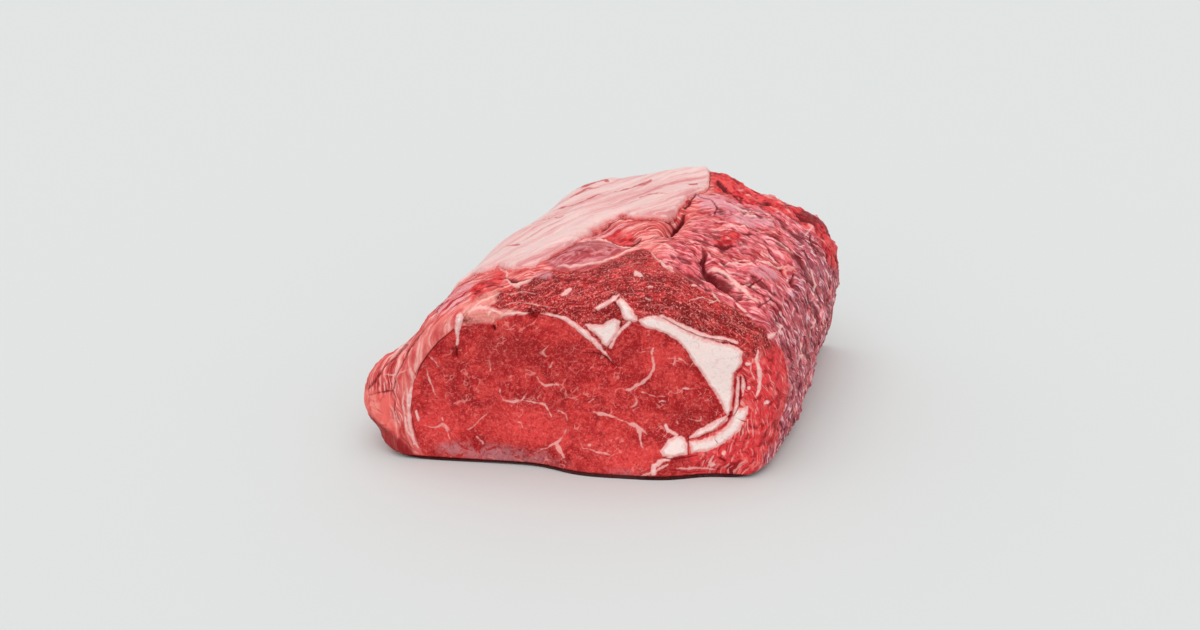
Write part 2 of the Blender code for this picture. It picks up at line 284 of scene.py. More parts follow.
# Marbling in the cut face, as strokes in (x, z)
MARBLING = [
    ([(-51.6, 42.7), (-51, 39.3), (-49.9, 36.8), (-45.4, 36.2), (-40.4, 37.4), (-37.8, 41.6)],
     (0.8, 1, 1.3, 1.1, 0.6)),
    ([(-40.4, 37.4), (-34.8, 37), (-28.4, 36.5), (-26, 32.7), (-24.7, 29.4)], (0.7, 0.5, 1.1, 0.8, 0.4)),
    ([(-22.3, 34), (-19.6, 33.3), (-17, 31.5), (-16.4, 28.3)], (0.4, 1.1, 1, 0.5)),
    ([(-32.7, 50.4), (-31, 48), (-27.7, 46.3), (-24, 47.6), (-20.8, 47.6)], (0.5, 0.9, 1.2, 1.3, 1.2)),
    ([(-23.9, 59.2), (-25.2, 57), (-27, 55.5)], (0.5, 0.9, 0.3)),
    ([(-17, 23), (-18.9, 19), (-22, 16), (-27.2, 12.6), (-32.5, 9.7)], (0.6, 1.2, 1.9, 1, 0.6)),
    ([(-22, 15.5), (-20.3, 12.3), (-18.3, 8.6)], (2, 2.6, 1)),
    ([(-63.8, 15), (-61.3, 11.8), (-60, 9.4)], (1, 1, 0.5)),
    ([(-89.6, 52.8), (-87.8, 46.3), (-86.7, 39.3), (-85.4, 34.8)], (0.4, 1, 0.9, 0.3)),
    ([(27, 70), (25.8, 67.3), (26.9, 62.5), (27.2, 58.3), (24.8, 54), (21, 50.3), (17.8, 49),
      (15.2, 46.8), (12, 46.4)], (0.6, 1.1, 1.4, 1.9, 1.6, 1.2, 1.5, 0.6)),
    ([(19.5, 67), (24.6, 67.2)], (0.5, 0.7)),
    ([(21, 45.3), (24.9, 44), (32.6, 43.7)], (0.5, 0.8, 0.4)),
    ([(40, 46.3), (42, 48.8), (46, 48.7)], (0.7, 0.7, 0.4)),
    ([(29.4, 40), (31.3, 40.9), (33.3, 40.2)], (0.5, 0.9, 0.5)),
    ([(36.7, 60.7), (37.6, 64.6), (41, 63.7), (45, 60.5), (46.2, 62.7)], (0.4, 0.8, 0.8, 0.7)),
    ([(-3, 34), (2.7, 33), (7.8, 31.7), (14.3, 29.4), (20, 26.3), (24, 23.8)], (1.1, 1.4, 1, 1.1, 2.2, 0.7)),
    ([(17.5, 28.3), (20.2, 25.7), (21, 21.3), (22.7, 17)], (1.2, 2.6, 1.2, 0.5)),
    ([(-9, 17.6), (-8, 15), (-3.4, 14), (1.2, 13), (6.4, 12)], (0.7, 1, 0.9, 0.5)),
    ([(-4.6, 16.4), (-4, 16.6)], (1.8, 1.4)),
    ([(-2.7, 41.2), (-5.2, 39)], (0.7, 0.5)),
    ([(38, 33.6), (40, 28.3)], (0.6, 0.4)),
    ([(79, 44), (78.8, 36.4)], (0.7, 0.4)),
    ([(-57, 60), (-55.6, 56), (-56, 52)], (0.4, 0.7, 0.3)),
    ([(-45, 26), (-41, 24.6), (-39, 21)], (0.4, 0.6, 0.3)),
    ([(-82, 24), (-80.6, 17), (-78, 12)], (0.4, 0.7, 0.3)),
    ([(48, 52), (50, 48.6)], (0.4, 0.6, 0.3)),
    ([(22, 2), (28, 5), (35, 8.5)], (0.8, 2.0, 1.2)),
    ([(40, 6.5), (47, 6), (55, 5.2), (62, 3.4)], (0.6, 1.2, 1.0, 0.4)),
    ([(58, 13), (56, 9), (60, 7)], (0.6, 1.6, 0.6)),
    ([(76, 66), (75.4, 60), (77.4, 55)], (0.4, 0.9, 0.4)),
    ([(74, 33), (76, 26), (75, 19)], (0.4, 0.9, 0.4)),
    ([(-88, 60), (-84, 55), (-80, 47)], (0.3, 0.7, 0.4)),
]

# Thin lines and pits, in (x, z), with their widths, pressed in and painted dark as shade in them: where
# the eye has shrunk from its rind, between bands of fat, in the notch over the eye, and at the foot on the
# right
CRACKS = [
    ([(-74, 74.5), (-82.5, 66.7), (-88, 60), (-92, 54), (-95, 48), (-97.3, 41), (-98.6, 30), (-97.6, 18),
      (-95.5, 7.6)], (0.5, 1.2, 0.8, 1.4, 0.9, 1.0, 0.4)),
    ([(-8, 65), (-2.3, 65.2), (2.7, 62.6), (7.3, 58.2)], (0.4, 1.0, 1.1, 0.5)),
    ([(31, 86.3), (37, 83.0), (43, 80.1), (48.4, 77.9), (54.6, 76.7), (62, 76.3), (68, 73.4)],
     (0.5, 0.6, 0.7, 0.5)),
    ([(46, 21.2), (51, 22), (56, 24), (61, 27), (64.8, 31), (65.8, 36)], (0.7, 0.6, 0.9)),
    ([(70.8, 61.5), (68, 57), (67.4, 50), (67.2, 42), (66.6, 36)], (0.7, 0.5, 0.6)),
    ([(45.4, 22.5), (45.4, 13)], (0.7, 0.7)),
    ([(70.2, 56), (70, 50), (70.2, 44), (70, 40), (67.6, 35), (65, 30.6)], (0.8, 0.9, 1.0, 0.8, 0.6, 0.2)),
    ([(69, 33.6), (73, 32)], (0.3, 0.9)),
    ([(57, 23), (60, 19.4)], (0.3, 0.6)),
    ([(-35, 85.4), (-35.4, 83.6)], (1.9, 0.6)),
    ([(-73.6, 63), (-73.8, 59)], (2.0, 1.4)),
    ([(-53.8, 76.6), (-53.5, 74.8)], (1.5, 1.2)),
    ([(61.4, 11.5), (63.6, 10)], (1.8, 1.2)),
    ([(66.4, 6), (67.4, 3), (67.2, 0)], (0.8, 2.0, 2.4)),
    ([(33, 12), (38, 11), (44, 11.4), (50, 12.6)], (0.8, 1.2, 0.6)),
    ([(38, 5.6), (46, 3.6), (56, 3.4)], (0.5, 1.1, 0.4)),
    ([(71.6, 58), (72.8, 54), (73.4, 49)], (0.5, 1.1, 0.4)),
]

# Soft patches of colour: middle (x, z), half widths and strength
PATCHES = {
    "dark": [
        (-56, 63, 7, 13, 0.9), (-41, 65, 12, 9, 1.0), (-20, 47, 16, 9, 0.5), (47, 33, 18, 13, 0.7),
        (-15, 66, 12, 8, 0.7), (-74, 60, 6, 7, 0.6), (58, 8, 12, 4, 0.7),
    ],
    "warm": [
        (-35, 24, 26, 12, 1.0), (-86, 19, 13, 12, 0.9), (4, 14, 9, 13, 0.6), (20, 10, 12, 9, 0.9),
        (30, 63, 18, 10, 0.5), (80, 24, 10, 26, 0.7), (-84, 45, 8, 14, 0.5),
        (80, 62, 7, 14, 0.5),
    ],
    "plum": [(-50, 6, 32, 6, 0.8), (-78, 8, 8, 4, 0.4), (16, 3, 12, 4, 0.5)],
}


LATTICE = np.random.default_rng(11).uniform(-1, 1, (32, 32, 32))


def noise(points, size, turn):
    """Value noise from -1 to 1: random numbers on a lattice of that size, joined by smooth steps. Each
    turn gives another pattern. The lattice is turned off the axes so that its rows don't show."""
    turned = points @ np.array([[0.80, 0.36, -0.48], [-0.60, 0.48, -0.64], [0.0, 0.80, 0.60]])
    q = turned / size + 7.31 * turn
    cell = np.floor(q).astype(int)
    t = q - cell
    t = t * t * t * (t * (t * 6 - 15) + 10)
    total = np.zeros(len(points))
    for corner in product((0, 1), repeat=3):
        weight = np.prod(np.where(np.array(corner) == 1, t, 1 - t), axis=1)
        i, j, k = ((cell + corner) % 32).T
        total += weight * LATTICE[i, j, k]
    return total


def stroke(flat, line, widths):
    """How far inside a drawn stroke each flat point is: half the width there less the distance from
    the line. The widths are spread evenly from end to end."""
    line = np.array(line, float)
    widths = np.interp(np.linspace(0, 1, len(line)), np.linspace(0, 1, len(widths)), widths)
    if len(line) == 1:
        return widths[0] / 2 - np.linalg.norm(flat - line[0], axis=1)
    best = np.full(len(flat), -50.0)
    for start, end, wide, narrow in zip(line[:-1], line[1:], widths[:-1], widths[1:]):
        run = end - start
        share = np.clip((flat - start) @ run / (run @ run), 0, 1)
        gap = np.linalg.norm(flat - start - share[:, None] * run, axis=1)
        best = np.maximum(best, (wide + (narrow - wide) * share) / 2 - gap)
    return best


def inside(flat, outline):
    """How far inside a closed outline each flat point is, negative outside: the distance from the
    nearest side, with the sign from how many sides a ray to +X crosses."""
    x, y = flat.T
    odd = np.zeros(len(flat), bool)
    gap = np.full(len(flat), 1e9)
    corners = np.array(outline, float)
    for (x0, y0), (x1, y1) in zip(corners, np.roll(corners, -1, 0)):
        if y0 != y1:
            odd ^= ((y0 > y) != (y1 > y)) & (x < x0 + (y - y0) * (x1 - x0) / (y1 - y0))
        run = np.array([x1 - x0, y1 - y0])
        share = np.clip(((x - x0) * run[0] + (y - y0) * run[1]) / (run @ run), 0, 1)
        gap = np.minimum(gap, np.hypot(x - x0 - share * run[0], y - y0 - share * run[1]))
    return np.where(odd, gap, -gap)


def ridges(points, size, turn):
    """Sharp-crested noise from 0 to 1: one less 2.2 times the distance of noise from zero."""
    return 1 - np.minimum(1, 2.2 * np.abs(noise(points, size, turn)))


def bumps(points, layers):
    """Sum of noise over layers of height, size and turn."""
    return sum(height * noise(points, size, turn) for height, size, turn in layers)


def deepest(flat, outlines):
    """How far inside the nearest of several closed outlines each flat point is."""
    return np.max([inside(flat, outline) for outline in outlines], axis=0)


def drawn_strokes(flat, lines):
    """How far inside the nearest of several strokes, each a line and its widths, a flat point is."""
    return np.max([stroke(flat, line, widths) for line, widths in lines], axis=0)


OFF_CUT = 20  # how far outside every outline a point is put where the front cut turns away


def read_cut(points, facing, at_back, wander, ragged):
    """What the front cut shows, as how far inside each kind of fat or flesh a point is, less 20 mm
    where the surface turns away. Squiggles and the web are the crests of noise in the eye."""
    x, y, z = points.T
    front = points[:, [0, 2]]
    hidden = -OFF_CUT * (1 - facing)
    seams = deepest(front + 0.5 * wander, SEAM_FAT.values())
    seams = np.maximum(seams, drawn_strokes(front + 0.5 * wander, FAT_STROKES))
    eye = inside(front, EYE) + hidden
    squiggle = ridges(points, 2.8, 34) - 0.86 - 0.6 * (1 - fade(noise(points, 7, 35), -0.2, 0.3))
    squiggle = squiggle - 4 * (1 - fade(eye, -1, 1)) * (1 - at_back)
    web = 6 * (ridges(points, 12, 29) - 0.965) - 3 * (1 - fade(noise(points, 15, 30), 0.1, 0.5))
    web = web - 4 * (1 - fade(eye, -2, 2)) * facing - 2 * (1 - facing) * (1 - at_back)
    veins = drawn_strokes(front + wander, MARBLING) - 0.1 + hidden + 0.7 * ragged
    marks = {
        "fat": seams + hidden + 0.7 * ragged,
        "eye": eye,
        "squiggle": squiggle,
        "vein": np.maximum(veins, web + 0.5 * at_back),
        "crack": drawn_strokes(front + 0.4 * wander, CRACKS) + hidden,
    }
    for name, spots in PATCHES.items():
        marks[name] = facing * sum(
            strength * np.exp(-(((x - u) / wide) ** 2) - ((z - w) / tall) ** 2)
            for u, w, wide, tall, strength in spots
        )
    return marks


# Directions across and up the sight plane, which is square to the line of sight of the camera. Outlines
# that run from the front cut over the top edge are drawn in it.
TURN, TILT = math.radians(7), math.radians(22)
SIGHT_PLANE = np.array([
    (math.cos(TURN), -math.sin(TURN) * math.sin(TILT)),
    (math.sin(TURN), math.cos(TURN) * math.sin(TILT)),
    (0.0, math.cos(TILT)),
])
TO_CAMERA = (math.sin(TURN) * math.cos(TILT), -math.cos(TURN) * math.cos(TILT), math.sin(TILT))

# Outline of all that the front cut has laid open, in the sight plane
CUT = [
    (-68, 82), (-60, 89), (-47, 93), (-35, 98), (-28, 101), (-23, 102.5), (-15, 101.5), (-8, 102.5),
    (0, 104.5), (8, 107.5), (15, 111.5), (22, 114), (30, 107), (45, 97), (56, 91), (67, 84), (81, 76),
    (88, 65), (94, 55), (95, 37), (93, 27), (90, 15), (83, 8), (77, -6), (-98, -6), (-99, 12),
    (-102, 19), (-103, 33), (-103, 47), (-98, 58), (-90, 69), (-80, 77),
]

# The sheet of fat. A pale layer that lies over the upper left of the roast and was trimmed at its
# front edge. It is left on the flesh, with a thin dark line of painted shadow under its edge where it shows.
SHEET_SEEN = [
    (-95, 88), (-75, 97), (-68, 101), (-60, 102.5), (-53, 105), (-47, 103.5), (-40, 103), (-34, 104.5),
    (-27, 108), (-23, 111), (-18, 113), (-15, 115), (-11, 121), (-5, 126), (0, 129), (4, 131), (8, 133),
    (12, 135), (17, 133), (22, 132), (30, 132), (37, 133), (41, 136), (46, 141), (50, 145), (55, 148),
    (61, 152), (64, 159), (66, 175), (-60, 175), (-130, 120),
]
SHEET_THICKNESS = 2.4
SHEET_FRONT = 42  # where the sheet starts on the left side, at the height of its top
SHEET_TOP = 85
SHEET_LEAN = 0.3  # how much further back it starts for each millimetre below that
SHEET_FOOT = 14  # how high its lower edge runs on the left side
SHEET_RIGHT = 42  # how far it reaches to the right where the back of the roast hides it

# Thin red streaks in the sheet, in the sight plane, with their widths
RED_LINES = [
    ([(5, 149), (12, 151), (19, 153), (26, 155), (31, 157)], (0.4, 1.0, 0.7, 1.1, 0.5)),
    ([(-27, 138), (-20, 140), (-12, 142), (-6, 145), (2, 148)], (0.4, 0.7, 0.5, 0.7, 0.3)),
    ([(-17, 146), (-13, 148), (-7, 152), (0, 153)], (0.4, 1.2, 0.8, 0.3)),
    ([(-38, 129), (-31, 132), (-22, 131), (-19, 132)], (0.3, 0.6, 0.4)),
    ([(-28, 148), (-22, 150)], (1.6, 0.8)),
    ([(-50, 116), (-43, 117)], (0.5, 0.8)),
    ([(2, 158), (5, 158)], (0.9, 1.4)),
    ([(-15, 153), (-6, 155), (2, 158)], (0.6, 1.0, 0.5)),
    ([(22, 144), (31, 146), (38, 145)], (0.3, 0.6, 0.3)),
    ([(51, 153), (56, 154)], (0.8, 1.2)),
]

# The skin. The outside of the muscles, with the thin membrane that held them to their neighbours torn
# off in places. It has threads and small folds along the fibres, and deeper clefts between muscles.

# Outlines of its parts, in the sight plane
SKIN_PARTS = {
    # A smooth roll of membrane at the top of the front cut
    "roll": [
        [
            (-28, 105), (-23, 109), (-18, 112), (-12, 117), (-5, 119), (1, 119), (7, 118), (12, 115),
            (20, 116), (11, 111), (4, 107.5), (-4, 104.5), (-13, 102.5), (-21, 102.5),
        ],
    ],
    # Folds of lilac membrane
    "lilac": [
        [
            (50, 146), (65, 150), (78, 146), (96, 140), (104, 132), (97, 130), (79, 130), (66, 134),
            (55, 138),
        ],
        [(74, 103), (81, 104), (90, 103), (94, 99), (87, 96), (80, 97), (74, 99)],
        [(-35, 99), (-33, 101), (-26, 102), (-24, 99), (-28, 98)],
        [(-85, 84), (-76, 92), (-70, 98), (-65, 97), (-65, 92), (-68, 87), (-74, 82), (-81, 80)],
        [
            (-20, 113), (-10, 120), (-4, 125), (3, 129), (11, 130), (17, 129), (7, 127), (0, 124),
            (-6, 120), (-14, 115),
        ],
    ],
    # Cream and pink fat along the upper left rim of the cut
    "pink": [
        [
            (-69, 75.5), (-67, 81.5), (-62, 85), (-56, 85), (-51, 83), (-45, 82), (-38, 81.4), (-46, 79.4),
            (-50.5, 77.6), (-53.6, 76.2), (-58, 75.8), (-64.4, 75.4),
        ],
        [
            (-86, 72), (-79, 79), (-73, 82), (-66, 85.5), (-60, 88), (-57, 91), (-53, 93), (-50, 91),
            (-52, 87), (-57, 85), (-64, 82), (-72, 77), (-80, 70),
        ],
        [
            (-98, 59), (-93, 66), (-84, 75), (-78, 80), (-72, 82), (-67, 80), (-74, 76), (-80, 72),
            (-85, 67), (-91, 61),
        ],
    ],
    # A smooth lobe at the foot of the left flank
    "lobe": [
        [
            (-127, 42), (-115, 39), (-108, 38), (-106.5, 34), (-108, 26), (-105, 18), (-110, 17),
            (-116, 20), (-124, 25), (-128, 33),
        ],
    ],
    # Painted shade on the underside of the lobe
    "lobe_underside_shade": [
        [
            (-132, 30), (-121, 26.5), (-114, 21), (-108, 18), (-103, 14.5), (-97, 8.5), (-94, 0),
            (-100, -10), (-135, -10),
        ],
    ],
    # Bare flesh, the last of them along the back rim
    "bright": [
        [
            (-65, 95), (-58, 99), (-51, 103), (-49, 101), (-49, 96), (-54, 94), (-60, 88), (-64, 84),
            (-64, 90),
        ],
        [(-2, 121), (3, 125), (9, 127), (15, 126), (18, 122), (16, 117), (10, 118), (4, 120)],
        [(61, 119), (65, 123), (72, 125), (77, 123), (74, 119), (68, 117), (62, 117)],
        [(87, 108), (97, 108), (104, 109), (105, 103), (99, 102), (93, 104)],
        [(-53, 84), (-45, 86), (-34, 89), (-24, 90), (-24, 86), (-36, 84), (-45, 82)],
        [
            (66, 168), (78, 168), (101, 156), (130, 145), (146, 130), (146, 108), (138, 108), (134, 111),
            (130, 121), (124, 129), (118, 135), (108, 139), (98, 139), (89, 141), (80, 145), (74, 151),
            (67, 152),
        ],
    ],
    # The right side, dried to a dark purple
    "purple": [
        [
            (98, 92), (106, 108), (112, 126), (125, 131), (150, 125), (150, 89), (130, 55), (112, 30),
            (101, 15), (93, 26), (96, 42), (96, 54), (89, 65), (88, 78),
        ],
    ],
}

# Grooves and lines under loose edges, in the sight plane, with their widths, painted dark as shade in them
GROOVES = [
    ([(54, 111), (53, 107), (54, 104), (58, 101), (61, 97), (65, 93), (71, 88)],
     (1.2, 2.4, 2.8, 2.4, 2.0, 0.8)),
    ([(53, 114), (54, 110), (51, 107)], (0.8, 2.2, 1.4)),
    ([(34, 124.5), (39, 127), (43, 132), (46, 136)], (1.4, 3.2, 4.0, 1.6)),
    ([(61, 117), (66, 116), (72, 117)], (1.4, 1.8, 0.8)),
    ([(91, 117), (94, 113), (98, 110)], (1.6, 2.6, 1.0)),
    ([(-4, 119.5), (1, 122), (6, 120), (11, 117.5), (16, 118), (21, 121)], (0.8, 1.6, 1.4, 2.0, 2.6, 1.0)),
    ([(77, 125), (83, 124), (90, 122), (94, 119)], (0.8, 1.4, 1.6, 0.8)),
    ([(55, 147), (56, 144), (62, 142), (65, 139), (63, 136)], (0.4, 0.7, 0.4, 0.8, 0.5)),
    ([(71, 96), (75, 94), (82, 97)], (0.4, 0.8, 0.3)),
    ([(105, 102), (103, 97), (107, 92)], (0.8, 2.0, 0.8)),
    ([(47, 139), (50, 142), (54, 147)], (1.6, 1.2, 0.8)),
    ([(70, 159), (73, 155), (75, 152)], (2.4, 2.8, 1.2)),
    ([(79, 151), (82, 144)], (1.2, 0.8)),
    ([(99, 146), (101, 143)], (2.0, 0.8)),
    ([(116, 138), (120, 135), (126, 131)], (1.2, 2.0, 1.4)),
    ([(-24, 99), (-17, 98), (-10, 98), (0, 96)], (0.5, 0.8, 0.6, 0.2)),
    ([(-27, 107), (-21, 109), (-13, 110), (-5, 109)], (0.3, 0.5, 0.4, 0.2)),
    ([(-49, 99), (-45, 97), (-40, 97), (-37, 98)], (0.4, 1.4, 1.2, 0.4)),
    ([(-75, 83), (-71, 85), (-66, 88), (-62, 91), (-58, 93), (-53, 94), (-49, 94)],
     (0.1, 0.4, 0.2, 0.6, 0.3, 0.6, 0.2)),
    ([(-78, 88), (-74, 92), (-70, 97), (-64, 101)], (0.2, 0.8, 0.5, 0.1)),
    ([(-83, 81), (-80, 86), (-75, 90)], (0.2, 0.8, 0.2)),
    ([(-45, 88), (-39, 88.6), (-32, 88)], (0.1, 0.3, 0.1)),
    ([(80, 84), (87, 88), (92, 85), (95, 78)], (0.3, 0.6, 0.5, 0.3)),
    ([(122, 128), (124, 120), (124, 111)], (0.8, 1.4, 0.6)),
    ([(111, 109), (114, 102), (112, 93)], (0.8, 1.6, 0.6)),
    ([(133, 118), (133, 103), (130, 88)], (0.8, 1.6, 0.8)),
    ([(-86, 77), (-91, 70), (-96, 63), (-101, 56), (-105, 48), (-107, 41)], (0.1, 0.6, 0.3, 0.7, 0.3)),
    ([(-99, 65), (-105, 58), (-111, 52), (-116, 45), (-121, 41)], (0.3, 0.7, 0.5, 0.8, 0.4)),
    ([(-121, 38), (-113, 40), (-107, 41), (-106, 37), (-107, 30), (-105, 23), (-103, 16), (-97, 9)],
     (0.1, 0.5, 0.4, 0.1, 0.3)),
]

# Pale strands and flecks of membrane and fat, in the sight plane, with their widths
STRANDS = [
    ([(56, 105), (59, 104), (64, 101), (67, 98), (71, 94), (75, 91), (80, 86)],
     (0.6, 1.5, 1.2, 1.6, 1.2, 0.5)),
    ([(24, 94), (26, 94)], (0.8, 0.9)),
    ([(46, 95), (48, 95)], (1.4, 0.8)),
    ([(22, 88), (25, 87)], (0.5, 1.1, 0.6)),
    ([(56, 92), (58, 89), (60, 87)], (0.6, 1.4, 1.1, 0.5)),
    ([(54, 86), (58, 88)], (0.4, 1.1, 0.6)),
    ([(30, 107), (32, 105), (36, 103)], (0.5, 1.7, 0.8)),
    ([(62, 106), (68, 106), (74, 104), (79, 105)], (0.4, 1.1, 1.2, 0.4)),
    ([(82, 108), (86, 107), (93, 106), (99, 107)], (0.8, 1.5, 2.5, 1)),
    ([(72, 94), (75, 95), (77, 94), (81, 93)], (0.6, 1.4, 1.2, 0.6)),
    ([(21, 117), (27, 116), (33, 113), (41, 110)], (0.4, 0.9, 0.8, 0.4)),
    ([(25, 112), (29, 107), (34, 103), (37, 101)], (0.4, 0.8, 0.9, 0.4)),
    ([(66, 126), (74, 128), (82, 128), (89, 126)], (0.4, 0.9, 0.9, 0.4)),
    ([(98, 121), (102, 118), (105, 114)], (0.4, 1.2, 0.6)),
    ([(120, 127), (125, 131)], (1, 0.6)),
    ([(17, 100), (18, 101), (20, 100), (21, 99)], (0.9, 2.4, 2.2, 0.8)),
    ([(61, 91), (65, 90), (69, 87)], (0.4, 0.8, 0.4)),
    # The next stroke, along the top of the roll, is a painted highlight on its crest. The one after, along
    # its lower edge, is its pale lip of membrane, with a painted highlight on it.
    ([(-11, 118), (-5, 119), (0, 120), (6, 119), (10, 116), (17, 116)], (0.4, 0.9, 1.2, 1.1, 0.9, 0.6)),
    ([(-23, 104), (-15, 103), (-8, 104), (0, 106), (8, 109), (15, 113), (21, 116)],
     (0.4, 0.9, 1, 0.9, 0.7, 1, 0.8)),
    ([(-52, 104), (-48, 102), (-47, 97), (-42, 94.5), (-38, 96), (-34, 98)], (0.6, 1.2, 1.0, 1.8, 1.2, 0.6)),
    ([(-50, 84), (-45, 86), (-40, 86.4), (-34, 86), (-27, 84), (-22, 83)], (0.1, 0.4, 0.2, 0.4, 0.3, 0.1)),
    ([(-45, 90), (-39, 91.6), (-32, 91)], (0.1, 0.3, 0.1)),
    ([(-72, 94), (-66, 97), (-60, 98.6), (-55, 99)], (0.2, 0.5, 0.4, 0.2)),
    ([(53, 147), (59, 151), (63, 156), (63, 160)], (0.6, 0.9, 1.2, 0.9)),
    ([(69, 141), (79, 140), (89, 139), (97, 137)], (0.4, 1, 0.8, 0.4)),
    ([(75, 135), (84, 138), (92, 136), (100, 133)], (0.4, 1, 1, 0.4)),
    ([(99, 109), (102, 101), (99, 93)], (0.4, 0.8, 0.4)),
    ([(117, 105), (120, 97), (117, 88)], (0.9, 1.4, 0.6)),
    ([(105, 72), (107, 64), (105, 54)], (0.6, 1, 0.6)),
    ([(116, 88), (118, 77), (115, 66)], (0.6, 1, 0.5)),
    ([(44, 87), (51, 89), (57, 87)], (0.3, 0.6, 0.3)),
    ([(88, 78), (92, 74), (89, 69)], (0.6, 1.5, 0.6)),
    ([(-101, 41), (-102, 34), (-101, 26), (-100, 19), (-95, 11)], (0.4, 1.2, 0.9, 1.1, 0.6)),
    ([(-107, 57), (-101, 63), (-98, 67)], (0.6, 1.2, 0.6)),
    ([(-111, 49), (-106, 49), (-99, 52)], (0.4, 0.9, 0.4)),
]

# How far outside every outline a point is put, in millimetres, where the camera doesn't see the
# surface, and where no sheet can lie
OFF_SIGHT = 40
OFF_SHEET = 30

# Layers of noise that bend the outlines and the fibres: height, size in millimetres and turn
OUTLINE_WANDER = ([(1.2, 6, 22)], [(1.2, 6, 23)])
FIBRE_WARP = [(6, 30, 8), (3, 12, 9), (1, 4, 33)]


def read_skin(points, normal, at_back, wander, ragged):
    """What the skin shows, as how far inside each outline or stroke a point is, less 40 mm where the
    surface turns away from the camera. There the sheet of fat goes on inside three planes instead."""
    x, y, z = points.T
    sight = points @ SIGHT_PLANE
    turned = 1 - fade(normal @ TO_CAMERA, -0.1, 0.1)
    unseen = OFF_SIGHT * turned
    drawn = sight + np.column_stack([bumps(points, layers) for layers in OUTLINE_WANDER])
    marks = {name: deepest(drawn, outlines) - unseen for name, outlines in SKIN_PARTS.items()}
    marks["cut"] = np.maximum(inside(drawn, CUT) - unseen, 12 * (at_back - 0.5))

    # The purple side goes on round the back of the right side
    beyond = 0.25 * (x - DRIFT * y) - 20
    purple = np.maximum(marks["purple"] + unseen, beyond)
    marks["purple"] = purple - 0.3 * np.maximum(unseen - 30, 0)
    marks["strand"] = drawn_strokes(sight + 0.6 * wander, STRANDS) - unseen + 0.3 * ragged
    marks["red"] = drawn_strokes(sight + 0.8 * wander, RED_LINES) - unseen + 0.2 * ragged
    front = points[:, [0, 2]]
    marks["rim"] = inside(front, RIM) - OFF_CUT * (fade(normal[:, 1], -0.15, 0.1) + fade(y, 20, 30))

    upward = fade(normal[:, 2], -0.35, 0.0)
    behind = y - SHEET_FRONT - SHEET_LEAN * (SHEET_TOP - z)
    beyond = np.minimum(np.minimum(behind, z - SHEET_FOOT), SHEET_RIGHT - x) + 4 * noise(points, 16, 36)
    sheet = (1 - turned) * inside(sight + wander, SHEET_SEEN) + turned * beyond
    sheet = np.minimum(sheet, 12) - OFF_SHEET * (1 - upward + at_back) + 0.4 * noise(points, 2.5, 7)
    marks["sheet"] = sheet
    # A thin line along the sheet's edge, pressed in and painted dark as the shadow under that edge
    edge = 0.1 - np.abs(sheet + 0.8) + 0.4 * ragged - unseen - 5 * fade(-x, 30, 50)
    groove = drawn_strokes(sight + 0.6 * wander, GROOVES) - unseen + 0.2 * ragged
    marks["groove"] = np.maximum(groove, edge)
    return marks


def fibre_run(points, on_sheet):
    """Places across and along the fibres, in millimetres. On bare flesh, along is the angle round the
    piece times 75, and across is the depth plus the distance from the middle less 0.3 of along. On
    the sheet both run slantwise. Noise warps them."""
    x, y, z = points.T
    middle = 35
    around = np.arctan2(x - DRIFT * y + 5, z - middle) * 75
    outward = np.hypot(x - DRIFT * y, z - middle)
    warp = bumps(points, FIBRE_WARP)
    bare = y + outward - 0.30 * around + warp
    slant = 0.8 * (y - x) + 0.5 * z + 0.5 * warp
    across = (1 - on_sheet) * bare + on_sheet * slant
    along = (1 - on_sheet) * around + on_sheet * 0.3 * (x + y)
    return across, along


# The relief. The muscles lie as rolls with clefts between them, with a grain where the knife has cut
# them and threads where they are whole. Each point of the smooth skin moves only along its normal.

# Clefts between the muscles: the line (x, y, z) at the bottom of each, its half width and its depth
CLEFTS = [
    ([(-40, 34, 98), (-6, 84, 107)], 2.2, 1.6),
    ([(27, 66, 108), (33, 92, 109)], 4.0, 6.5),
    ([(-7, 74, 107), (10, 54, 107)], 8.0, 3.0),
    ([(45, 46, 104), (55, 27, 99)], 3.2, 3.6),
    ([(55, 27, 99), (78, 15, 82)], 3.2, 4.2),
    ([(70, 120, 100), (92, 70, 84)], 7.0, 3.0),
    ([(-34, 0, 83), (-36, 14, 93)], 2.4, 4.0),
    ([(4, 0, 80), (2, 0, 60)], 6.0, 1.6),
    ([(-8, 0, 65), (3, 0, 62.6), (7, 0, 58)], 1.1, 1.3),
    ([(-74.3, 0, 62.5), (-74.3, 0, 59.5)], 1.6, 2.6),
    ([(-53.8, 0, 76.4), (-53.4, 0, 75.6)], 1.2, 2.0),
    ([(-36.5, 27, 97.5), (-27, 30, 99.6)], 2.4, 2.6),
    ([(70, 0, 62), (67.3, 0, 58), (67, 0, 42), (65.4, 0, 34), (57, 0, 24.6), (46, 0, 21)], 0.8, 1.2),
    ([(93, 19, 29), (90, 12, 20)], 2.0, 2.0),
]

# Rolls of flesh: middle, radius and height. A negative height is a dent.
ROLLS = [
    ((-12, 34, 102), 16, 2.5),
    ((34, 44, 105), 15, 2.5),
    ((74, 46, 97), 14, 2.0),
    ((60, 80, 104), 16, 2.0),
    ((108, 176, 82), 14, 4.5),
    ((76, 178, 104), 12, -3.0),
    ((-116, 18, 42), 12, 2.0),
    ((-118, 14, 10), 12, -4.0),
    ((-116, 16, 4), 14, -4.0),
    ((60, 0, 62), 14, 1.5),
    ((-85, 0, 30), 22, -1.5),
]

# Slow unevenness of the whole piece: how many waves, the range of their lengths, and the height
WAVES = 24
WAVE_LENGTHS = (30, 75)
UNEVENNESS = 0.7


